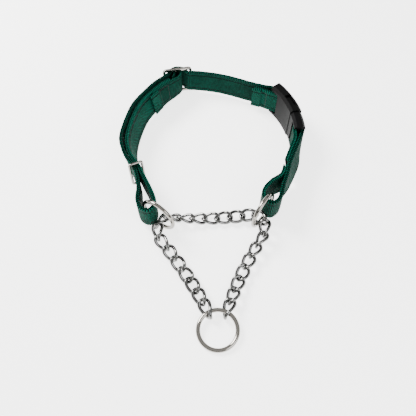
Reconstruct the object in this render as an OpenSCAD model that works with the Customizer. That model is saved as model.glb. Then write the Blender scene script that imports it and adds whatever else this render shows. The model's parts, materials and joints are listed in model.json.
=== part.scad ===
// Martingale collar standing on its edge: two webbing straps, a side release buckle, a slider and a
// wire keeper, two strap rings, and a twisted curb chain that runs through them to a leash ring.
// Millimetres, +Z up, and the origin is at the middle of the collar on the surface it stands on.

/* [Webbing] */
// Width of the webbing
web_w = 25; // [24:0.5:25.5]
// Thickness of one ply, and every strap has two plies
ply_t = 1.8; // [1.6:0.1:1.9]

/* [Rings] */
// Outer diameter of the three rings
ring_od = 36; // [35.5:0.1:36.5]
// Wire diameter of the rings
ring_wire = 3.8; // [3.6:0.1:3.9]

/* [Chain] */
// Wire diameter of the chain
link_wire = 2.2; // [2:0.1:2.3]
// Outer width of a link
link_w = 11; // [10.6:0.1:11.2]
// Play between two links
link_play = 0.5; // [0.4:0.1:0.6]
// Turn of each end of a link, which lets the chain lie flat
link_twist = 45; // [40:1:50]

/* [Buckle] */
// Height of the buckle across the webbing
buckle_h = 37; // [36:0.5:38]
// Thickness of the buckle
buckle_t = 12; // [11.5:0.1:12.5]

/* [Hidden] */
// Middle of the collar in the plan that the routes are laid out in
plan_x = 4.43;
plan_y = 240.06;

pitch = 11.9;
leg_links = 8;
span_links = 7;
ring_r = (ring_od - ring_wire) / 2;

LEFT = [for (i = [1:leg_links]) str("left_link_", i)];
RIGHT = [for (i = [1:leg_links]) str("right_link_", i)];
SPAN = [for (i = [1:span_links]) str("span_link_", i)];

web_green = [0.0, 0.42, 0.3];
steel = [0.75, 0.75, 0.75];
black = [0.08, 0.08, 0.09];

// --- smooth routes -------------------------------------------------------------------------------

// Catmull-Rom curve through a list of points, with steps points for each stretch
function curve_at(a, b, c, d, t) = 0.5 * (2 * b + (c - a) * t + (2 * a - 5 * b + 4 * c - d) * t * t
    + (3 * b - a - 3 * c + d) * t * t * t);
function smooth(pts, steps) = let (n = len(pts)) [
    for (i = [0:n - 2])
        for (k = [0:steps - 1])
            curve_at(pts[max(i - 1, 0)], pts[i], pts[i + 1], pts[min(i + 2, n - 1)], k / steps),
    pts[n - 1]
];
function unit(v) = v / norm(v);
function flat(v) = [v[0], v[1]];
function side_of(pts, i) = let (n = len(pts), d = unit(flat(pts[min(i + 1, n - 1)]) - flat(pts[max(i - 1, 0)])))
    [-d[1], d[0]];

// Middle height of the webbing: lowest at the slider, and raised where the rings and the buckle hold it
rise_from = 382;
rise_to = 362;
web_z_low = 16;
web_z_high = 18;
function web_z(y) = web_z_low
    + (web_z_high - web_z_low) * min(max((rise_from - y) / (rise_from - rise_to), 0), 1);

// A ribbon that stands on edge along a route of [x, y, lean], from offset lo to offset hi beside it
module ribbon(route, lo, hi, width, steps = 4) {
    pts = smooth(route, steps);
    n = len(pts);
    corners = [[lo, -1], [hi, -1], [hi, 1], [lo, 1]];
    ring_pts = [
        for (i = [0:n - 1])
            let (side = side_of(pts, i), lean = pts[i][2], z = web_z(pts[i][1]))
                for (c = corners)
                    let (
                        across = c[0] * cos(lean) + c[1] * width / 2 * sin(lean),
                        up = c[1] * width / 2 * cos(lean) - c[0] * sin(lean)
                    )
                        [pts[i][0] + side[0] * across, pts[i][1] + side[1] * across, z + up]
    ];
    sides = [
        for (i = [0:n - 2])
            for (k = [0:3])
                let (a = 4 * i + k, b = 4 * i + (k + 1) % 4)
                    each k == 3 ? [[a, a + 4, b], [a + 4, b + 4, b]] : [[a, a + 4, b + 4], [a, b + 4, b]]
    ];
    last = 4 * (n - 1);
    ends = [[0, 1, 2], [0, 2, 3], [last + 3, last + 2, last + 1], [last + 3, last + 1, last]];
    polyhedron(ring_pts, concat(sides, ends), convexity = 6);
}

module place() {
    translate([-plan_x, -plan_y, 0]) children();
}

// --- routes of the webbing, at mid height --------------------------------------------------------

slider_c = [-33.5, 383];
slider_turn = 11;
function at_slider(along, out) = [
    slider_c[0] + along * cos(slider_turn) - out * sin(slider_turn),
    slider_c[1] + along * sin(slider_turn) + out * cos(slider_turn)
];
function leaning(p, lean) = [p[0], p[1], lean];

buckle_c = [-5.3, 296.5];
buckle_r = 95;
socket_end = 36.6;
plug_end = -0.4;
mouth = 12;
socket_bar_a = 34.4;
plug_bar_a = 1.8;
bar_r = 2.2;
turn_r = bar_r + ply_t + 0.4;
function on_buckle(a, out) = [
    buckle_c[0] + (buckle_r + out) * cos(a),
    buckle_c[1] + (buckle_r + out) * sin(a)
];
// Degrees round the buckle for a length along it
function along(mm) = mm / buckle_r * 180 / PI;

long_route = [
    [49.5, 356.2, 0], [57.5, 353.2, 0], [64.5, 349.6, 0],
    leaning(on_buckle(socket_bar_a, -turn_r), 0),
    leaning(on_buckle(socket_bar_a - along(turn_r * 0.75), -turn_r * 0.68), 0),
    leaning(on_buckle(socket_bar_a - along(turn_r), 0), 0),
    leaning(on_buckle(socket_bar_a - along(turn_r * 0.75), turn_r * 0.68), 0),
    leaning(on_buckle(socket_bar_a, turn_r), 0),
    [68, 356.6, 0], [59, 358.4, -1], [45, 363, -2], [33, 368.5, -3], [21, 373.6, -3], [8, 377.8, -3],
    [-6, 380.6, -3],
    leaning(at_slider(17, -4.4), -2),
    leaning(at_slider(12, -3.6), 0),
    leaning(at_slider(8.6, 0.3), 0),
    leaning(at_slider(5.6, 4.6), 0),
    leaning(at_slider(0, 6.4), 0),
    leaning(at_slider(-5.6, 4.6), 0),
    leaning(at_slider(-8.6, 0.3), 0),
    leaning(at_slider(-12.2, -4.2), -2),
    [-55, 363.6, -8], [-66.5, 345.8, -13], [-74.4, 330.7, -15], [-79.9, 308.4, -15],
    [-82.1, 289, -15], [-79.4, 275, -12], [-75.4, 264, -7], [-69.2, 252.4, 0],
    [-64.8, 240, 0], [-63, 228, 0], [-63, 216.5, 0], [-59.5, 207.5, 0], [-53, 204.3, 0],
    [-48.3, 208.6, 0], [-48, 216.5, 0], [-53, 229, 0], [-60, 243, 0], [-65.4, 254.2, 0],
    [-71.2, 265.2, 7], [-74.4, 275.6, 12], [-76, 289, 15], [-73.9, 307.4, 15], [-68.7, 328.2, 15],
    [-61.1, 343.1, 13], [-49.4, 359.6, 8], [-40.4, 369.2, 4]
];
fold_route = [
    [-55.5, 346.1, 12], [-47.1, 357.8, 8], [-38, 367.2, 4], [-31.8, 374, 0],
    leaning(at_slider(3.5, -3.2), 0),
    leaning(at_slider(3.3, 1.0), 0),
    leaning(at_slider(0, 3.1), 0),
    leaning(at_slider(-3.3, 1.0), 0),
    leaning(at_slider(-3.6, -3.2), 0),
    [-38.6, 372.6, 3]
];
short_route = [
    [76.4, 259.4, 14], [82, 273.6, 14], [85.8, 287.4, 6],
    leaning(on_buckle(plug_bar_a, -turn_r), 0),
    leaning(on_buckle(plug_bar_a + along(turn_r * 0.75), -turn_r * 0.68), 0),
    leaning(on_buckle(plug_bar_a + along(turn_r), 0), 0),
    leaning(on_buckle(plug_bar_a + along(turn_r * 0.75), turn_r * 0.68), 0),
    leaning(on_buckle(plug_bar_a, turn_r), 0),
    [90.4, 286, -6], [86, 271.6, -14], [80, 257.2, -14], [74, 242.4, -7], [68.6, 232, 0],
    [66.5, 223.5, 0], [63, 216, 0], [57.3, 212.2, 0], [52.1, 215.4, 0], [49.8, 221.5, 0],
    [52, 228.6, 0], [59, 236.2, 2], [69.2, 243, 7], [74.4, 253, 13]
];

// --- webbing -------------------------------------------------------------------------------------

module long_strap() {
    color(web_green) place() ribbon(long_route, -ply_t, 0, web_w);
}

module long_strap_lining() {
    color(web_green) place() ribbon(long_route, 0, ply_t, web_w);
}

module slider_fold() {
    color(web_green) place() ribbon(fold_route, -ply_t / 2, ply_t / 2, web_w);
}

module short_strap() {
    color(web_green) place() ribbon(short_route, -ply_t, 0, web_w);
}

module short_strap_lining() {
    color(web_green) place() ribbon(short_route, 0, ply_t, web_w);
}

// --- slider and keeper ---------------------------------------------------------------------------

slider_l = 32;
slider_h = 32;
slider_t = 2.6;
slider_rim = 3;
slider_bar_r = 1.5;

module at_slider_frame() {
    place() translate([slider_c[0], slider_c[1], web_z_low]) rotate([0, 0, slider_turn]) children();
}

module rounded_plate(l, h, t, r) {
    rotate([90, 0, 0]) translate([0, 0, -t / 2]) linear_extrude(t) {
        square([l - 2 * r, h], center = true);
        square([l, h - 2 * r], center = true);
        for (x = [-1, 1], y = [-1, 1])
            translate([x * (l / 2 - r), y * (h / 2 - r)]) circle(r, $fn = 48);
    }
}

module slider() {
    color(steel) at_slider_frame() difference() {
        rounded_plate(slider_l, slider_h, slider_t, 4);
        rounded_plate(slider_l - 2 * slider_rim, slider_h - 2 * slider_rim, slider_t + 1, 1.5);
    }
}

module slider_bar() {
    color(steel) at_slider_frame()
        cylinder(h = slider_h - 2 * slider_rim, r = slider_bar_r, center = true, $fn = 32);
}

keeper_c = [-67.3, 253.3];
keeper_turn = -63.5;
keeper_wire = 2.5;
keeper_in = 10;
keeper_in_h = 26.4;

module keeper() {
    r = keeper_wire / 2;
    w = keeper_in / 2 + r;
    h = keeper_in_h / 2 + r;
    color(steel) place() translate([keeper_c[0], keeper_c[1], web_z(keeper_c[1])])
        rotate([0, 0, keeper_turn]) {
            for (s = [-1, 1]) {
                translate([0, s * w, 0]) cylinder(h = 2 * h, r = r, center = true, $fn = 32);
                translate([0, 0, s * h]) rotate([90, 0, 0])
                    cylinder(h = 2 * w, r = r, center = true, $fn = 32);
                for (q = [-1, 1])
                    translate([0, s * w, q * h]) sphere(r, $fn = 32);
            }
        }
}

// --- rings ---------------------------------------------------------------------------------------

left_ring_c = [-44.5, 206.5];
left_ring_a = -34.8;
right_ring_c = [49.6, 211.3];
right_ring_a = -125.6;
leash_ring_c = [8, 106.8];
leash_rise = 3.4;
leash_tilt = asin(leash_rise / (2 * ring_r));
leash_spread = 30;

module ring() {
    rotate_extrude($fn = 96) translate([ring_r, 0]) circle(ring_wire / 2, $fn = 32);
}

module upright_ring(c, a) {
    color(steel) place() translate([c[0], c[1], ring_od / 2]) rotate([0, 0, a]) rotate([90, 0, 0])
        ring();
}

module left_ring() {
    upright_ring(left_ring_c, left_ring_a);
}

module right_ring() {
    upright_ring(right_ring_c, right_ring_a);
}

module leash_ring() {
    color(steel) place()
        translate([leash_ring_c[0], leash_ring_c[1], (ring_wire + leash_rise) / 2])
            rotate([leash_tilt, 0, 0]) ring();
}

// --- chain ---------------------------------------------------------------------------------------

span_from = [-38.5, 209.5];
span_to = [43.8, 212.5];
corner_pitch = 12;
left_corner_a = 231;
right_corner_a = -47;
left_first_a = 279;
right_first_a = -97;
// A leg ends a little inside the leash ring's wire, where its last link hooks round it
leash_reach = ring_r - (ring_wire + link_play) / 2 - 0.2;
left_end = leash_ring_c + leash_reach * [-sin(leash_spread), cos(leash_spread)];
right_end = leash_ring_c + leash_reach * [sin(leash_spread), cos(leash_spread)];
left_corner = span_from + corner_pitch * [cos(left_corner_a), sin(left_corner_a)];
right_corner = span_to + corner_pitch * [cos(right_corner_a), sin(right_corner_a)];

// Links stand on edge where they hook round a ring or turn a corner, and roll flat between
steps_down = [9.9, 6.6, 5, 3.9];
leg_down = [9.9, 8.2, 6.4, 4.9, 4];
link_z = 3.6;
function leg_z(i) = i < 5 ? leg_down[i] : link_z + max(0, i - 5) * 0.5;
function span_z(i) = let (j = min(i, span_links - i)) steps_down[min(j, 3)];
// The links that turn the corners and hook round the leash ring are a little longer
turn_spare = 0.8;
end_spare = 1.8;
function leg_spare(i) = i < 3 ? turn_spare : i == leg_links ? end_spare : 0;
roll_step = 15;
roll_most = 45;
function leg_roll(i) = max(min(roll_most, roll_most - roll_step * (i - 2)),
    roll_most - roll_step * (leg_links - i), 0);
function span_roll(i) = roll_step * (i - (span_links + 1) / 2);

function heading(a, b) = atan2(b[1] - a[1], b[0] - a[0]);

// Joints of a leg: its first link heads its own way, and the others sag from there to the leash ring
leg_sag = 3;
function leg_nodes(corner, first_a, end, hand) = let (
        first = corner + pitch * [cos(first_a), sin(first_a)],
        run = end - first,
        side = hand * leg_sag * unit([-run[1], run[0]])
    ) [
        [corner[0], corner[1], leg_z(0)],
        for (i = [0:leg_links - 1])
            let (f = i / (leg_links - 1), p = first + f * run + 4 * f * (1 - f) * side)
                [p[0], p[1], leg_z(i + 1)]
    ];
left_nodes = leg_nodes(left_corner, left_first_a, left_end, 1);
right_nodes = leg_nodes(right_corner, right_first_a, right_end, -1);
span_nodes = [for (i = [0:span_links]) let (p = span_from + (span_to - span_from) * i / span_links)
    [p[0], p[1], span_z(i)]];

link_sides = 8;
link_steps = 24;
link_half_w = (link_w - link_wire) / 2;

// Middle line of a link as long as reach between its wire centres, twisted about X
function link_mid(reach, phi) = let (
        round_x = cos(phi) * link_half_w,
        long_x = (reach / 2 - link_half_w) * 1.3 * cos(phi) / (abs(cos(phi)) + 0.3),
        x = round_x + long_x,
        turn = link_twist * x / (reach / 2),
        y = link_half_w * sin(phi)
    )
    [x, y * cos(turn), y * sin(turn), turn];
function xyz(p) = [p[0], p[1], p[2]];

module link_between(a, b, roll, spare = 0) {
    reach = norm(b - a) + link_wire + link_play + spare;
    points = [
        for (i = [0:link_steps - 1])
            let (
                phi = 360 * i / link_steps,
                p = link_mid(reach, phi),
                d = unit(xyz(link_mid(reach, phi + 1)) - xyz(link_mid(reach, phi - 1))),
                up = [0, -sin(p[3]), cos(p[3])],
                v = unit(up - (up * d) * d),
                u = cross(d, v)
            )
                for (k = [0:link_sides - 1])
                    let (q = 360 * (k + 0.5) / link_sides)
                        xyz(p) + link_wire / 2 * (cos(q) * u + sin(q) * v)
    ];
    faces = [
        for (i = [0:link_steps - 1])
            for (k = [0:link_sides - 1])
                let (
                    j = link_sides * ((i + 1) % link_steps),
                    m = (k + 1) % link_sides,
                    a = link_sides * i + k,
                    b = link_sides * i + m
                )
                    each [[a, b, j + m], [a, j + m, j + k]]
    ];
    mid = (a + b) / 2;
    level = norm([b[0] - a[0], b[1] - a[1]]);
    color(steel) place() translate(mid)
        rotate([0, -atan2(b[2] - a[2], level), heading(a, b)]) rotate([roll, 0, 0])
            polyhedron(points, faces, convexity = 4);
}

module left_corner_link() {
    link_between(span_nodes[0], left_nodes[0], roll_most, turn_spare);
}

module right_corner_link() {
    link_between(span_nodes[span_links], right_nodes[0], roll_most, turn_spare);
}

module left_link(i) {
    link_between(left_nodes[i - 1], left_nodes[i], leg_roll(i), leg_spare(i));
}

module right_link(i) {
    link_between(right_nodes[i - 1], right_nodes[i], leg_roll(i), leg_spare(i));
}

module span_link(i) {
    link_between(span_nodes[i - 1], span_nodes[i], span_roll(i));
}

// --- buckle --------------------------------------------------------------------------------------

module buckle_frame() {
    place() translate([buckle_c[0], buckle_c[1], buckle_h / 2]) children();
}

// A curved block on the buckle's arc between two angles, t thick and h high, moved out by out
module arc_block(a0, a1, t, h, out = 0, chamfer = 0) {
    rotate([0, 0, a0]) rotate_extrude(angle = a1 - a0, $fn = 180) translate([buckle_r + out, 0])
        polygon([
            [-t / 2, -h / 2 + chamfer], [-t / 2 + chamfer, -h / 2], [t / 2 - chamfer, -h / 2],
            [t / 2, -h / 2 + chamfer], [t / 2, h / 2 - chamfer], [t / 2 - chamfer, h / 2],
            [-t / 2 + chamfer, h / 2], [-t / 2, h / 2 - chamfer]
        ]);
}

slot_h = web_w + 1.6;
slot_l = turn_r + ply_t + 1.2;
cavity_t = 6.4;
cavity_h = 30.4;
window_a = [16.5, 25.5];
cavity_a = 28.2;
bar_clear = 0.3;

module buckle_socket() {
    color(black) buckle_frame() difference() {
        arc_block(mouth, socket_end, buckle_t, buckle_h, 0, 2.5);
        arc_block(mouth - 1, cavity_a, cavity_t, cavity_h);
        arc_block(window_a[0], window_a[1], cavity_t - 1, buckle_h + 2);
        arc_block(socket_bar_a - along(slot_l), socket_end + 1, buckle_t + 2, slot_h);
    }
}

module socket_bar() {
    color(black) buckle_frame() rotate([0, 0, socket_bar_a]) translate([buckle_r, 0, 0])
        cylinder(h = slot_h, r = bar_r, center = true, $fn = 32);
}

plug_base_h = 34;
module buckle_plug() {
    color(black) buckle_frame() difference() {
        arc_block(plug_end, mouth - 0.25, buckle_t - 1, plug_base_h, 0, 2.5);
        arc_block(plug_end - 1, plug_bar_a + along(slot_l), buckle_t + 2, slot_h);
    }
}

module plug_bar() {
    color(black) buckle_frame() rotate([0, 0, plug_bar_a]) translate([buckle_r, 0, 0])
        cylinder(h = slot_h, r = bar_r, center = true, $fn = 32);
}

module plug_tongue() {
    color(black) buckle_frame() arc_block(mouth - 0.25, cavity_a - 1.4, 4.6, 8);
}

arm_from = mouth;
arm_tip = 25;
arm_w = 4;
arm_root = 9;
module latch_arm(s) {
    color(black) buckle_frame() {
        translate([0, 0, s * (arm_root + arm_w / 2)]) arc_block(arm_from, arm_tip, 4.2, arm_w);
        translate([0, 0, s * (arm_root + arm_w + 1.6)])
            arc_block(window_a[0] + 0.7, arm_tip - 0.2, 4.2, 3.4);
    }
}

module latch_arm_top() {
    latch_arm(1);
}

module latch_arm_bottom() {
    latch_arm(-1);
}

long_strap();
long_strap_lining();
slider_fold();
short_strap();
short_strap_lining();
slider();
slider_bar();
keeper();
left_ring();
right_ring();
leash_ring();
buckle_socket();
socket_bar();
buckle_plug();
plug_tongue();
plug_bar();
latch_arm_top();
latch_arm_bottom();
left_corner_link();
right_corner_link();
for (i = [1:leg_links]) {
    left_link(i);
    right_link(i);
}
for (i = [1:span_links])
    span_link(i);
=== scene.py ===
import json
import math

import bmesh
import bpy
import numpy as np
from mathutils import Matrix, Vector


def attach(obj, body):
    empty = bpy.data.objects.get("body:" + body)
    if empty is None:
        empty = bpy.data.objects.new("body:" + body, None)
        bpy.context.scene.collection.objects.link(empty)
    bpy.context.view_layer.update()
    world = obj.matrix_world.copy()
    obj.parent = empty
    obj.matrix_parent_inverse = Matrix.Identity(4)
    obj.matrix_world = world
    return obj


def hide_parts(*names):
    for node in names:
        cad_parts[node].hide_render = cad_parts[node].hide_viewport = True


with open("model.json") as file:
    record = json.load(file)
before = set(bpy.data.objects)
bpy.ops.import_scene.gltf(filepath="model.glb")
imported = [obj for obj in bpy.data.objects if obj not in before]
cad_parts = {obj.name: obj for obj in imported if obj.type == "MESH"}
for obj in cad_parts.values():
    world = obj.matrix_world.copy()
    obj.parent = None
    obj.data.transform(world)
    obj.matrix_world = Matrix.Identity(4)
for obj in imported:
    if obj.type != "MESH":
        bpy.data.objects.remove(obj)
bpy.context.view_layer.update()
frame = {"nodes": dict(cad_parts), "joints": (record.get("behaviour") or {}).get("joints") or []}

# Millimetres and degrees, laid out in the same plan as part.scad. PLAN is that plan's point at the origin.
PLAN = (4.43, 240.06)

WEB_W = 25.0
PLY = 1.8
PLY_GAP = 0.26
RISE_FROM, RISE_TO = 382, 362
WEB_Z_LOW, WEB_Z_HIGH = 16, 18

RING_R = 16.1
RING_WIRE = 3.8
LEFT_RING, LEFT_RING_TURN = (-44.5, 206.5, WEB_Z_HIGH), -34.8
RIGHT_RING, RIGHT_RING_TURN = (49.6, 211.3, WEB_Z_HIGH), -125.6
LEASH_RING = (8, 106.8)
LEASH_RISE = 3.4

# The chain's wire and links are drawn thicker and wider than the CAD links
WIRE = 3.1
LINK_W = 12.9
LINK_OVER = 3.3
TWIST = 45.0
LEG_LINKS, SPAN_LINKS = 8, 7
ROLL_MOST, ROLL_STEP = 45, 15
TURN_SPARE, END_SPARE = 0.8, 1.8
LINK_PLAY, LEASH_CLEAR = 0.5, 0.2
LEASH_SPREAD = 30
LAST_Z = 5.1

SLIDER = (-33.5, 383)
SLIDER_TURN = 11
SLIDER_HALF, SLIDER_CORNER = 14.5, 2.6
SLIDER_RIM_W, SLIDER_RIM_H, SLIDER_RIM_R = 3.0, 2.6, 0.7
SLIDER_BAR_R, SLIDER_BAR_HALF = 1.5, 13.4
KEEPER = (-67.3, 253.3)
KEEPER_TURN = -63.5
KEEPER_HALF_W, KEEPER_HALF_H, KEEPER_CORNER = 6.25, 14.45, 1.9
KEEPER_WIRE_R = 1.25

BUCKLE = (-5.3, 296.5)
BUCKLE_R = 95.0
SOCKET_BAR, PLUG_BAR = 34.4, 1.8
BAR_R = 2.2
TURN_R = BAR_R + PLY + 0.4

# Selvage teeth, ribs and rounded edges of the webbing, and the stitches in rows and in boxes
TOOTH, TOOTH_PITCH = 0.34, 2.0
SELVAGE = 1.1
RIB, RIB_PITCH = 0.045, 1.5
EDGE_R = 0.55
CORNER_TURNS = (0.5, 1.05)
ROW_UP, BOX_UP = 9.6, 9.4
STITCH_PITCH, STITCH_LEN, STITCH_R = 3.1, 2.3, 0.32
BOX_PITCH, BOX_R = 2.4, 0.34

DEEP_GREEN = (0.0, 0.0008, 0.0006, 1)
# Dark thread colour for the stitch dashes, also used as painted shade over the whole stitch-row groove
THREAD_AND_GROOVE_SHADE = (0.0, 0.002, 0.0016, 1)


# --- materials ---

class Graph:
    """A material with short calls for its nodes."""

    def __init__(self, name):
        self.mat = bpy.data.materials.new(name)
        self.mat.use_nodes = True
        self.tree = self.mat.node_tree
        self.bsdf = self.tree.nodes["Principled BSDF"]

    def node(self, kind, **inputs):
        n = self.tree.nodes.new(kind)
        for k, v in inputs.items():
            self.put(n.inputs[k.replace("_", " ")], v)
        return n

    def put(self, socket, v):
        if hasattr(v, "is_output"):
            self.tree.links.new(v, socket)
        else:
            socket.default_value = v

    def math(self, op, a, b=0.0):
        n = self.tree.nodes.new("ShaderNodeMath")
        n.operation = op
        self.put(n.inputs[0], a)
        self.put(n.inputs[1], b)
        return n.outputs[0]

    def add(self, a, b):
        return self.math("ADD", a, b)

    def minus(self, a, b):
        return self.math("SUBTRACT", a, b)

    def times(self, a, b):
        return self.math("MULTIPLY", a, b)

    def mix(self, f, a, b):
        n = self.tree.nodes.new("ShaderNodeMix")
        n.data_type = "RGBA"
        self.put(n.inputs[0], f)
        self.put(n.inputs[6], a)
        self.put(n.inputs[7], b)
        return n.outputs[2]

    def wave(self, x, period):
        return self.math("SINE", self.times(x, 2 * math.pi / period))

    def noise(self, scale, detail):
        n = self.node("ShaderNodeTexNoise", Scale=scale, Detail=detail)
        where = self.tree.nodes.new("ShaderNodeTexCoord").outputs["Object"]
        self.put(n.inputs["Vector"], where)
        return n.outputs["Fac"]

    def bump(self, height, distance, strength=1.0):
        n = self.node("ShaderNodeBump", Strength=strength, Distance=distance)
        self.put(n.inputs["Height"], height)
        self.put(self.bsdf.inputs["Normal"], n.outputs[0])

    def set(self, **inputs):
        for k, v in inputs.items():
            self.put(self.bsdf.inputs[k.replace("_", " ")], v)


def scaled(colour, by):
    return tuple(min(1, c * by) for c in colour[:3]) + (1,)


def webbing(name, ribbed_to, mid, light):
    """Woven webbing, ribbed near the middle of its face and in chevrons beyond that, with a toothed edge.

    The UV is the length and the height across, both in centimetres.
    """
    rib_pitch, warp_pitch, chevron_pitch, chevron_at = 1.15, 1.3, 2.1, 6.2
    row_at, row_half, dash_pitch, edge_from = 8.3, 0.55, 3.3, 11.2
    g = Graph(name)
    uv = g.node("ShaderNodeUVMap")
    uv.uv_map = "UVMap"
    sep = g.node("ShaderNodeSeparateXYZ")
    g.put(sep.inputs[0], uv.outputs[0])
    u = g.times(sep.outputs[0], 10.0)
    v = g.times(sep.outputs[1], 10.0)
    out = g.math("ABSOLUTE", v)
    chevron = g.wave(g.add(u, g.math("ABSOLUTE", g.minus(out, chevron_at))), chevron_pitch)
    ribs = g.wave(u, rib_pitch)
    warp = g.wave(v, warp_pitch)
    centre = g.math("LESS_THAN", out, ribbed_to)
    weave = g.add(g.times(ribs, centre), g.times(chevron, g.minus(1.0, centre)))
    weave = g.add(weave, g.times(warp, 0.5))
    edge = g.math("GREATER_THAN", out, edge_from)
    teeth = g.times(g.wave(u, TOOTH_PITCH), 1.6)
    weave = g.add(g.times(weave, g.minus(1.0, edge)), g.times(teeth, edge))
    row = g.math("LESS_THAN", g.math("ABSOLUTE", g.minus(out, row_at)), row_half)
    stitch = g.times(row, g.math("GREATER_THAN", g.wave(u, dash_pitch), -0.6))
    fine = g.noise(900.0, 2.0)
    broad = g.noise(45.0, 3.0)
    level = g.add(g.times(weave, 0.36), g.times(fine, 0.9))
    level = g.add(level, g.times(broad, 0.35))
    ramp = g.node("ShaderNodeValToRGB")
    ramp.color_ramp.elements[0].position = 0.2
    ramp.color_ramp.elements[0].color = DEEP_GREEN
    ramp.color_ramp.elements[1].position = 1.0
    ramp.color_ramp.elements[1].color = light
    ramp.color_ramp.elements.new(0.58).color = mid
    g.put(ramp.inputs[0], level)
    # Painted shade: the whole stitch row is darkened a little for its groove, and the dashes darken more
    # for the dark thread
    shade = g.add(g.times(stitch, 0.6), g.times(row, 0.35))
    g.set(Base_Color=g.mix(shade, ramp.outputs[0], THREAD_AND_GROOVE_SHADE), Roughness=0.7,
          Specular_IOR_Level=0.05)
    height = g.add(g.times(weave, 0.5), g.times(fine, 0.8))
    height = g.minus(height, g.times(row, 1.3))
    height = g.add(height, g.times(stitch, 0.9))
    g.bump(height, 0.0006)
    return g.mat


def thread(name, colour):
    g = Graph(name)
    fibre = g.noise(2600.0, 2.0)
    g.set(Base_Color=g.mix(fibre, scaled(colour, 0.5), colour), Roughness=0.6)
    g.bump(fibre, 0.0001, 0.7)
    return g.mat


def metal(name, tint, rough, wear):
    """Plated metal whose tint and polish vary a little."""
    g = Graph(name)
    smear = g.noise(60.0, 5.0)
    fine = g.noise(700.0, 3.0)
    g.set(Base_Color=g.mix(g.times(smear, wear), tint, scaled(tint, 0.72)), Metallic=1.0,
          Roughness=g.add(rough, g.times(g.times(smear, fine), 0.16)))
    g.bump(g.add(smear, g.times(fine, 0.25)), 0.00012, 0.5)
    return g.mat


def plastic(name, tint, rough):
    g = Graph(name)
    skin = g.noise(1500.0, 2.0)
    smear = g.noise(40.0, 4.0)
    g.set(Base_Color=g.mix(smear, tint, scaled(tint, 1.7)), Roughness=g.add(rough, g.times(smear, 0.18)),
          Specular_IOR_Level=0.09)
    g.bump(skin, 0.00006, 0.5)
    return g.mat


WEB_OUT = webbing("webbing_outer", 0.0, (0.0, 0.019, 0.0115, 1), (0.0, 0.12, 0.076, 1))
WEB_IN = webbing("webbing_inner", 7.4, (0.0, 0.0165, 0.0105, 1), (0.0, 0.075, 0.048, 1))
THREAD = thread("thread_dark", (0.0004, 0.008, 0.006, 1))
THREAD_LIGHT = thread("thread_box", (0.0006, 0.016, 0.012, 1))
STEEL = metal("nickel_ring", (0.30, 0.285, 0.26, 1), 0.08, 0.7)
CHAIN = metal("nickel_chain", (0.18, 0.18, 0.176, 1), 0.06, 0.8)
BLACK = plastic("buckle_black", (0.0006, 0.0006, 0.0007, 1), 0.5)


# --- meshes ---

def make(name, verts, faces, mat, body, uvs=None):
    """A smooth mesh piece in the shared frame, from points in the plan."""
    me = bpy.data.meshes.new(name)
    v = np.array(verts, float)
    v[:, 0] -= PLAN[0]
    v[:, 1] -= PLAN[1]
    me.from_pydata([tuple(p) for p in v / 1000.0], [], [tuple(int(i) for i in f) for f in faces])
    me.materials.append(mat)
    if uvs is not None:
        layer = me.uv_layers.new(name="UVMap")
        flat = np.array(uvs, float)[[i for f in faces for i in f]].ravel()
        layer.data.foreach_set("uv", flat)
    me.polygons.foreach_set("use_smooth", [True] * len(me.polygons))
    me.update()
    ob = bpy.data.objects.new(name, me)
    bpy.context.scene.collection.objects.link(ob)
    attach(ob, body)
    return ob


def turn_outward(ob):
    bm = bmesh.new()
    bm.from_mesh(ob.data)
    bmesh.ops.recalc_face_normals(bm, faces=bm.faces)
    bm.to_mesh(ob.data)
    bm.free()


def tube_faces(n, m, closed=True):
    """Quads between n outlines of m points each, round a loop or from end to end."""
    faces = []
    for i in range(n if closed else n - 1):
        j = (i + 1) % n
        for k in range(m):
            q = (k + 1) % m
            faces.append((m * i + k, m * i + q, m * j + q, m * j + k))
    return faces


def turns(n):
    """n even angles round a circle, in radians."""
    return np.linspace(0, 2 * math.pi, n + 1)[:-1]


def circle(r, n):
    return [(r * math.cos(t), r * math.sin(t)) for t in turns(n)]


def rot(axis, deg):
    return np.array(Matrix.Rotation(math.radians(deg), 3, axis))


def corner_arcs(n):
    """Signs of a rectangle's four corners, with the n + 1 angles of the arc at each, in radians."""
    for cx, cy, start in ((1, 1, 0), (-1, 1, 90), (-1, -1, 180), (1, -1, 270)):
        for k in range(n + 1):
            yield cx, cy, math.radians(start + 90 * k / n)


# --- routes ---

def curve_at(a, b, c, d, t):
    return 0.5 * (2 * b + (c - a) * t + (2 * a - 5 * b + 4 * c - d) * t * t
                  + (3 * b - a - 3 * c + d) * t ** 3)


def smooth_route(pts, step=0.45):
    """A Catmull-Rom curve through the points, resampled evenly, with its length at each station."""
    p = [np.array(q, float) for q in pts]
    n = len(p)
    fine = []
    for i in range(n - 1):
        for k in range(24):
            fine.append(curve_at(p[max(i - 1, 0)], p[i], p[i + 1], p[min(i + 2, n - 1)], k / 24))
    fine.append(p[-1])
    fine = np.array(fine)
    gap = np.hypot(*np.diff(fine[:, :2], axis=0).T)
    s = np.concatenate([[0], np.cumsum(gap)])
    at = np.linspace(0, s[-1], max(8, int(s[-1] / step)))
    return np.stack([np.interp(at, s, fine[:, k]) for k in range(3)], 1), at


def sides(path):
    """The level unit vector to the left of the path at each station."""
    d = np.empty_like(path[:, :2])
    d[1:-1] = path[2:, :2] - path[:-2, :2]
    d[0] = path[1, :2] - path[0, :2]
    d[-1] = path[-1, :2] - path[-2, :2]
    d /= np.hypot(d[:, 0], d[:, 1])[:, None]
    return np.stack([-d[:, 1], d[:, 0]], 1)


def web_z(y):
    """Height of the webbing's middle, lowest at the slider."""
    return WEB_Z_LOW + (WEB_Z_HIGH - WEB_Z_LOW) * np.clip((RISE_FROM - y) / (RISE_FROM - RISE_TO), 0, 1)


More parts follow.
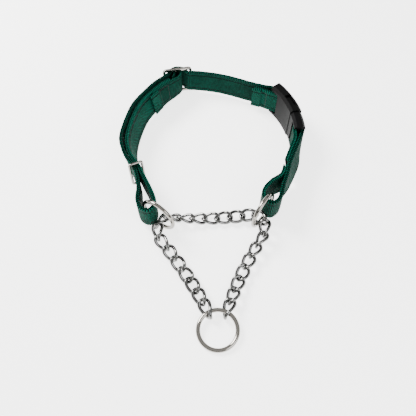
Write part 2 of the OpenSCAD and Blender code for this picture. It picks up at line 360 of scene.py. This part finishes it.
def at_route(path, side, i, off, up):
    """A point beside the route: off across the webbing's faces, up along its width."""
    lean = math.radians(path[i, 2])
    across = off * math.cos(lean) + up * math.sin(lean)
    return (path[i, 0] + side[i, 0] * across, path[i, 1] + side[i, 1] * across,
            web_z(path[i, 1]) + up * math.cos(lean) - off * math.sin(lean))


def near(route, xy):
    """The length along the route at which it passes closest to a point."""
    path, s = smooth_route(route)
    return float(s[np.argmin(np.hypot(path[:, 0] - xy[0], path[:, 1] - xy[1]))])


# --- webbing and thread ---

def section(lo, hi, half):
    """Rounded outline of a ply, as (offset, up) points."""
    r = min(EDGE_R, (hi - lo) * 0.42)
    back = CORNER_TURNS[::-1]
    ups = np.linspace(-half + r, half - r, 17)
    pts = [(hi, u) for u in ups]
    pts += [(hi - r + r * math.cos(a), half - r + r * math.sin(a)) for a in CORNER_TURNS]
    pts += [(x, half) for x in np.linspace(hi - r, lo + r, 3)]
    pts += [(lo + r - r * math.cos(a), half - r + r * math.sin(a)) for a in back]
    pts += [(lo, u) for u in ups[::-1]]
    pts += [(lo + r - r * math.cos(a), -half + r - r * math.sin(a)) for a in CORNER_TURNS]
    pts += [(x, -half) for x in np.linspace(lo + r, hi - r, 3)]
    pts += [(hi - r + r * math.cos(a), -half + r - r * math.sin(a)) for a in back]
    return pts


def ribbon(name, route, lo, hi, mat, phase=0.0, width=WEB_W):
    """A ply of webbing that stands on edge along a route, with a rough woven selvage."""
    path, s = smooth_route(route)
    side = sides(path)
    sec = section(lo, hi, width / 2)
    verts, uvs = [], []
    for i in range(len(path)):
        t = s[i] + phase
        tooth_at = 2 * math.pi * t / TOOTH_PITCH
        for off, up in sec:
            edge = max(0.0, (abs(up) - (width / 2 - SELVAGE)) / SELVAGE)
            bite = TOOTH * edge * (0.5 + 0.5 * math.cos(tooth_at)) ** 1.5
            wobble = 0.10 * edge * math.sin(t * 0.83 + up) + 0.12 * edge * math.sin(tooth_at + off * 2)
            rib = RIB * math.sin(2 * math.pi * (t + up * 0.9) / RIB_PITCH) * (1 - edge)
            push = rib if off > (lo + hi) / 2 else -rib
            trim = math.copysign(bite + 0.06, up) * (1 if edge else 0)
            verts.append(at_route(path, side, i, off + wobble * 0.6 + push, up - trim))
            uvs.append((t / 10.0, up / 10.0))
    n, m = len(path), len(sec)
    faces = tube_faces(n, m, closed=False)
    faces.append(tuple(range(m - 1, -1, -1)))
    faces.append(tuple(m * (n - 1) + k for k in range(m)))
    return make(name, verts, faces, mat, "collar", uvs)


def bead(centre, along, up, length, r):
    """A short lozenge of thread: points and faces."""
    a = np.array(along, float)
    a /= np.linalg.norm(a)
    u = np.array(up, float)
    u -= a * (u @ a)
    u /= np.linalg.norm(u)
    w = np.cross(a, u)
    c = np.array(centre, float)
    bulges = ((-0.5, 0.25), (-0.3, 0.9), (0, 1.0), (0.3, 0.9), (0.5, 0.25))
    n, m = len(bulges), 6
    pts = [c + a * x * length + r * q * (math.cos(t) * u + math.sin(t) * w)
           for x, q in bulges for t in turns(m)]
    ends = [tuple(range(m - 1, -1, -1)), tuple(m * (n - 1) + k for k in range(m))]
    return pts, ends + tube_faces(n, m, closed=False)


def stitches(name, beads, mat):
    verts, faces = [], []
    for b in beads:
        p, f = bead(*b)
        n = len(verts)
        verts += p
        faces += [tuple(i + n for i in q) for q in f]
    return make(name, verts, faces, mat, "collar", uvs=[(p[0] / 10, p[2] / 10) for p in verts])


def row_beads(route, off, up, start, end):
    """A row of stitches along a route, from one length to another."""
    path, s = smooth_route(route)
    side = sides(path)
    out = []
    t = start
    while t < end:
        i = int(np.searchsorted(s, t))
        if 2 < i < len(path) - 3:
            before, middle, after = (np.array(at_route(path, side, k, off, up)) for k in (i - 2, i, i + 2))
            out.append((middle, after - before, (side[i, 0], side[i, 1], 0), STITCH_LEN, STITCH_R))
        t += STITCH_PITCH
    return out


def box_beads(route, off, middle, half_l, half_h):
    """A sewn rectangle on the face of a strap."""
    path, s = smooth_route(route)
    side = sides(path)
    c = near(route, middle)
    out = []

    def line(a, b):
        n = max(2, int(math.hypot(b[0] - a[0], b[1] - a[1]) / BOX_PITCH))
        for k in range(n):
            p = []
            for f in ((k + 0.08) / n, (k + 0.92) / n):
                t = c + a[0] + (b[0] - a[0]) * f
                u = a[1] + (b[1] - a[1]) * f
                i = min(max(int(np.searchsorted(s, t)), 1), len(path) - 2)
                p.append(np.array(at_route(path, side, i, off, u)))
            run = p[1] - p[0]
            length = float(np.linalg.norm(run))
            if length > 0.3:
                out.append(((p[0] + p[1]) / 2, run, (side[i, 0], side[i, 1], 0), length, BOX_R))

    corners = [(-half_l, -half_h), (half_l, -half_h), (half_l, half_h), (-half_l, half_h)]
    for k in range(4):
        line(corners[k], corners[(k + 1) % 4])
    return out


def at_slider(along, out, lean=0):
    c, s = math.cos(math.radians(SLIDER_TURN)), math.sin(math.radians(SLIDER_TURN))
    return (SLIDER[0] + along * c - out * s, SLIDER[1] + along * s + out * c, lean)


def on_buckle(deg, out):
    """A point at an angle on the buckle's arc, out from it."""
    t = math.radians(deg)
    return (BUCKLE[0] + (BUCKLE_R + out) * math.cos(t), BUCKLE[1] + (BUCKLE_R + out) * math.sin(t), 0)


def arc_deg(mm):
    return mm / BUCKLE_R * 180 / math.pi


def round_bar(bar, way):
    """The webbing's turn round a buckle bar, from the inner face to the outer. Way is 1 or -1."""
    shoulder = bar + way * arc_deg(TURN_R * 0.75)
    return [on_buckle(bar, -TURN_R), on_buckle(shoulder, -TURN_R * 0.68),
            on_buckle(bar + way * arc_deg(TURN_R), 0),
            on_buckle(shoulder, TURN_R * 0.68), on_buckle(bar, TURN_R)]


# Each route is a list of (x, y, lean), the same as in part.scad
long_route = [
    (49.5, 356.2, 0), (57.5, 353.2, 0), (64.5, 349.6, 0), *round_bar(SOCKET_BAR, -1),
    (68, 356.6, 0), (59, 358.4, -1), (45, 363, -2), (33, 368.5, -3), (21, 373.6, -3), (8, 377.8, -3),
    (-6, 380.6, -3), at_slider(17, -4.4, -2), at_slider(12, -3.6), at_slider(8.6, 0.3), at_slider(5.6, 4.6),
    at_slider(0, 6.4), at_slider(-5.6, 4.6), at_slider(-8.6, 0.3), at_slider(-12.2, -4.2, -2),
    (-55, 363.6, -8), (-66.5, 345.8, -13), (-74.4, 330.7, -15), (-79.9, 308.4, -15), (-82.1, 289, -15),
    (-79.4, 275, -12), (-75.4, 264, -7), (-69.2, 252.4, 0), (-64.8, 240, 0), (-63, 228, 0), (-63, 216.5, 0),
    (-59.5, 207.5, 0), (-53, 204.3, 0), (-48.3, 208.6, 0), (-48, 216.5, 0), (-53, 229, 0), (-60, 243, 0),
    (-65.4, 254.2, 0), (-71.2, 265.2, 7), (-74.4, 275.6, 12), (-76, 289, 15), (-73.9, 307.4, 15),
    (-68.7, 328.2, 15), (-61.1, 343.1, 13), (-49.4, 359.6, 8), (-40.4, 369.2, 4),
]
fold_route = [
    (-55.5, 346.1, 12), (-47.1, 357.8, 8), (-38, 367.2, 4), (-31.8, 374, 0), at_slider(3.5, -3.2),
    at_slider(3.3, 1.0), at_slider(0, 3.1), at_slider(-3.3, 1.0), at_slider(-3.6, -3.2), (-38.6, 372.6, 3),
]
short_route = [
    (76.4, 259.4, 14), (82, 273.6, 14), (85.8, 287.4, 6), *round_bar(PLUG_BAR, 1),
    (90.4, 286, -6), (86, 271.6, -14), (80, 257.2, -14), (74, 242.4, -7), (68.6, 232, 0), (66.5, 223.5, 0),
    (63, 216, 0), (57.3, 212.2, 0), (52.1, 215.4, 0), (49.8, 221.5, 0), (52, 228.6, 0), (59, 236.2, 2),
    (69.2, 243, 7), (74.4, 253, 13),
]

for name, route in (("long", long_route), ("short", short_route)):
    outer = ribbon(name + "_webbing_outer", route, -PLY + 0.05, -PLY_GAP, WEB_OUT)
    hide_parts(name + "_strap")
    inner = ribbon(name + "_webbing_lining", route, PLY_GAP, PLY - 0.05, WEB_IN, phase=0.9)
    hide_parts(name + "_strap_lining")
fold = ribbon("slider_webbing_fold", fold_route, -PLY / 2, PLY / 2, WEB_IN)
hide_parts("slider_fold")

# The thick sewn ends of the two folds
BLOCK_W = 23.6
buckle_block = [(47.6, 356.9, 0), (52.2, 355.3, 0), (57.0, 353.4, 0)]
slider_block = [(-58.4, 341.6, 13), (-55.5, 346.1, 12), (-51.6, 351.6, 10)]
ribbon("buckle_fold_block", buckle_block, -PLY - 1.5, -PLY + 0.1, WEB_OUT, width=BLOCK_W)
ribbon("slider_fold_block", slider_block, -PLY / 2 - 1.2, -PLY / 2 + 0.1, WEB_OUT, width=BLOCK_W)

# Sewn rows along the straps, and the boxes that close the folds
sewn_runs = (
    (long_route, near(long_route, (68, 356.6)), near(long_route, (-6, 380.6))),
    (long_route, near(long_route, (-55, 363.6)), near(long_route, (-63, 228))),
    (long_route, near(long_route, (-71.2, 265.2)), near(long_route, long_route[-1]) - 3),
    (short_route, near(short_route, (90.4, 286)), near(short_route, (68.6, 232))),
)
rows = []
for up in (-ROW_UP, ROW_UP):
    for route, start, end in sewn_runs:
        rows += row_beads(route, -PLY - 0.02, up, start, end)
stitches("face_stitching", rows, THREAD)

boxes = []
for route, off, middle, half_l in (
    (long_route, -PLY - 0.05, (56.6, 353.5), 6),
    (short_route, -PLY - 0.05, (77.0, 262), 5.5),
    (fold_route, PLY / 2 + 0.05, (-47.1, 357.8), 6),
    (fold_route, -PLY / 2 - 0.05, (-47.1, 357.8), 6),
):
    boxes += box_beads(route, off, middle, half_l, BOX_UP)
stitches("box_stitching", boxes, THREAD_LIGHT)


# --- rings, slider and keeper ---

def ring(name, node, centre, turn):
    """A welded wire ring, with the slight swelling of its weld."""
    n, m = 144, 28
    weld_at, weld_width = 20, 1.7
    verts = []
    for i in range(n):
        t = 2 * math.pi * i / n
        out = turn @ np.array((math.cos(t), math.sin(t), 0))
        up = turn @ np.array((0, 0, 1))
        weld = math.exp(-((i - weld_at) / weld_width) ** 2)
        r = RING_WIRE / 2 * (0.985 + 0.03 * weld)
        c = np.array(centre) + RING_R * out
        verts += [tuple(c + r * (math.cos(q) * out + math.sin(q) * up)) for q in turns(m)]
    ob = make(name, verts, tube_faces(n, m), STEEL, node)
    turn_outward(ob)
    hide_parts(node)


def sweep(name, node, body, centres, axes, outline, closed=True):
    """A metal tube with its outline laid on two axes at each centre, as a loop or with open ends."""
    verts = [tuple(c + a * f[0] + b * f[1]) for c, f in zip(centres, axes) for a, b in outline]
    ob = make(name, verts, tube_faces(len(centres), len(outline), closed), STEEL, body)
    turn_outward(ob)
    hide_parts(node)


def rectangle_loop(name, node, centre, turn, hx, hz, r, outline):
    """A loop of metal round an upright rectangle with rounded corners, on the body named like its node."""
    m = rot("Z", turn)
    depth = m @ np.array((0, 1, 0))
    centres, axes = [], []
    for cx, cz, t in corner_arcs(10):
        o = np.array((math.cos(t), 0, math.sin(t)))
        centres.append(m @ (np.array((cx * (hx - r), 0, cz * (hz - r))) + r * o) + np.array(centre))
        axes.append((m @ o, depth))
    sweep(name, node, node, centres, axes, outline)


def soft_box(w, h, r):
    """Outline of a rectangle with rounded corners."""
    return [(cx * (w / 2 - r) + r * math.cos(t), cy * (h / 2 - r) + r * math.sin(t))
            for cx, cy, t in corner_arcs(4)]


upright = rot("X", 90)
ring("ring_left", "left_ring", LEFT_RING, rot("Z", LEFT_RING_TURN) @ upright)
ring("ring_right", "right_ring", RIGHT_RING, rot("Z", RIGHT_RING_TURN) @ upright)
leash_tilt = math.degrees(math.asin(LEASH_RISE / (2 * RING_R)))
ring("ring_leash", "leash_ring", (*LEASH_RING, (RING_WIRE + LEASH_RISE) / 2), rot("X", leash_tilt))

rectangle_loop("slider_frame", "slider", (*SLIDER, WEB_Z_LOW), SLIDER_TURN, SLIDER_HALF, SLIDER_HALF,
               SLIDER_CORNER, soft_box(SLIDER_RIM_W, SLIDER_RIM_H, SLIDER_RIM_R))
BAR_STATIONS = 12
bar_heights = np.linspace(WEB_Z_LOW - SLIDER_BAR_HALF, WEB_Z_LOW + SLIDER_BAR_HALF, BAR_STATIONS)
bar = [np.array((*SLIDER, z)) for z in bar_heights]
bar_axes = [(np.array((1, 0, 0)), np.array((0, 1, 0)))] * BAR_STATIONS
sweep("slider_middle_bar", "slider_bar", "slider", bar, bar_axes, circle(SLIDER_BAR_R, 20), closed=False)
rectangle_loop("keeper_loop", "keeper", (*KEEPER, WEB_Z_HIGH), KEEPER_TURN + 90, KEEPER_HALF_W,
               KEEPER_HALF_H, KEEPER_CORNER, circle(KEEPER_WIRE_R, 20))


# --- chain ---

def link(name, node, body, a, b, roll, spare):
    """A curb link from a to b: a wire loop twisted about its length, a bit worn and pinched at its seam."""
    a, b = np.array(a, float), np.array(b, float)
    reach = np.linalg.norm(b - a) + LINK_OVER + spare
    hw = (LINK_W - WIRE) / 2
    level = math.hypot(b[0] - a[0], b[1] - a[1])
    m = (rot("Z", math.degrees(math.atan2(b[1] - a[1], b[0] - a[0])))
         @ rot("Y", -math.degrees(math.atan2(b[2] - a[2], level))) @ rot("X", roll))
    mid = (a + b) / 2
    blunt = 0.3

    def at(phi):
        c = math.cos(phi)
        x = c * hw + (reach / 2 - hw) * (1 + blunt) * c / (abs(c) + blunt)
        t = math.radians(TWIST * x / (reach / 2))
        y = hw * math.sin(phi)
        return np.array((x, y * math.cos(t), y * math.sin(t))), t

    n, k = 84, 20
    seam_at, seam_width, worn_from = n * 0.25, 0.8, 0.72
    verts = []
    for i in range(n):
        phi = 2 * math.pi * i / n
        p, t = at(phi)
        d = at(phi + 0.02)[0] - at(phi - 0.02)[0]
        d /= np.linalg.norm(d)
        up = np.array((0, -math.sin(t), math.cos(t)))
        v = up - (up @ d) * d
        v /= np.linalg.norm(v)
        u = np.cross(d, v)
        seam = 1 - 0.07 * math.exp(-((i - seam_at) / seam_width) ** 2)
        for q in turns(k):
            x, y = math.cos(q), math.sin(q)
            flat = 1.0 - 0.05 * max(0, abs(y) - worn_from) / (1 - worn_from)
            verts.append(tuple(m @ (p + WIRE / 2 * seam * (x * u + y * flat * v)) + mid))
    ob = make(name, verts, tube_faces(n, k), CHAIN, body)
    turn_outward(ob)
    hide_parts(node)


def leg_roll(i):
    """Roll of a leg's link, which falls to nothing in the middle of the leg."""
    return max(min(ROLL_MOST, ROLL_MOST - ROLL_STEP * (i - 2)), ROLL_MOST - ROLL_STEP * (LEG_LINKS - i), 0)


# Each link starts at its own joint and reaches to the next one's
starts = {}
for joint in frame["joints"]:
    if "pos_m" in joint:
        x, y, z = joint["pos_m"]
        starts[joint["child"]] = (x * 1000 + PLAN[0], y * 1000 + PLAN[1], z * 1000)

leash_spread = math.radians(LEASH_SPREAD)
leash_reach = RING_R - (RING_WIRE + LINK_PLAY) / 2 - LEASH_CLEAR
for sign, leg in ((-1, "left"), (1, "right")):
    last = (LEASH_RING[0] + sign * leash_reach * math.sin(leash_spread),
            LEASH_RING[1] + leash_reach * math.cos(leash_spread), LAST_Z)
    points = [starts[f"{leg}_{i}"] for i in range(1, LEG_LINKS + 1)] + [last]
    for i in range(1, LEG_LINKS + 1):
        spare = TURN_SPARE if i < 3 else END_SPARE if i == LEG_LINKS else 0
        link(f"chain_{leg}_{i}", f"{leg}_link_{i}", f"{leg}_{i}", points[i - 1], points[i],
             leg_roll(i), spare)

points = [starts[f"span_{i}"] for i in range(1, SPAN_LINKS + 1)] + [starts["right_corner"]]
for i in range(1, SPAN_LINKS + 1):
    roll = ROLL_STEP * (i - (SPAN_LINKS + 1) / 2)
    link(f"chain_span_{i}", f"span_link_{i}", f"span_{i}", points[i - 1], points[i], roll, 0)
for side_name, corner in (("left", points[0]), ("right", points[-1])):
    link(f"chain_{side_name}_corner", f"{side_name}_corner_link", f"{side_name}_corner", corner,
         starts[side_name + "_1"], ROLL_MOST, TURN_SPARE)

# --- buckle ---

for node in ("buckle_socket", "socket_bar", "buckle_plug", "plug_bar", "plug_tongue",
             "latch_arm_top", "latch_arm_bottom"):
    ob = frame["nodes"][node]
    ob.data.materials.clear()
    ob.data.materials.append(BLACK)


# --- stage, in metres ---

def banded_world(bands):
    """A studio sky of bright and dark bands by height, for the metal to reflect."""
    world = bpy.data.worlds.new("studio")
    bpy.context.scene.world = world
    world.use_nodes = True
    tree = world.node_tree
    background = tree.nodes["Background"]
    background.inputs["Strength"].default_value = 1.0
    split = tree.nodes.new("ShaderNodeSeparateXYZ")
    tree.links.new(tree.nodes.new("ShaderNodeTexCoord").outputs["Generated"], split.inputs[0])
    ramp = tree.nodes.new("ShaderNodeValToRGB")
    stops = ramp.color_ramp.elements
    stops[0].position = 0.0
    stops[0].color = (0.03, 0.03, 0.03, 1)
    stops[1].position = 1.0
    stops[1].color = (1.1, 1.1, 1.1, 1)
    for height, level in bands:
        stops.new(height).color = (level, level, level * 0.985, 1)
    tree.links.new(split.outputs["Z"], ramp.inputs[0])
    tree.links.new(ramp.outputs[0], background.inputs["Color"])


def area(name, place, size, watts, colour):
    """A round lamp aimed at the object."""
    data = bpy.data.lights.new(name, "AREA")
    data.shape = "DISK"
    data.size = size
    data.energy = watts
    data.color = colour
    ob = bpy.data.objects.new(name, data)
    bpy.context.scene.collection.objects.link(ob)
    ob.location = place
    ob.rotation_euler = (-Vector(place)).to_track_quat("-Z", "Y").to_euler()


bpy.ops.mesh.primitive_plane_add(size=6, location=(0, 0, -0.0002))
floor = bpy.context.object
floor.name = "floor"
pale = Graph("floor_pale")
pale.set(Base_Color=(0.93, 0.93, 0.93, 1), Roughness=0.8, Emission_Color=(1, 1, 0.995, 1),
         Emission_Strength=2.8)
floor.data.materials.append(pale.mat)

banded_world(((0.14, 0.04), (0.20, 0.9), (0.36, 1.2), (0.42, 0.06), (0.58, 0.03), (0.64, 1.0), (0.80, 1.3),
              (0.86, 0.25)))
area("key", (-0.75, 0.55, 0.85), 0.55, 34.0, (1.0, 0.99, 0.97))
area("fill", (0.7, -0.7, 0.8), 0.8, 9.0, (0.97, 0.98, 1.0))

# The photograph's camera: over the plan's zero point, 360 mm up, and looking 58 degrees down
cam_data = bpy.data.cameras.new("photo_camera")
cam_data.lens = 38.5
cam_data.sensor_width = 36.0
cam = bpy.data.objects.new("photo_camera", cam_data)
bpy.context.scene.collection.objects.link(cam)
cam.location = (-PLAN[0] / 1000, -PLAN[1] / 1000, 0.360)
cam.rotation_euler = (math.radians(90 - 58), 0, 0)
bpy.context.scene.camera = cam
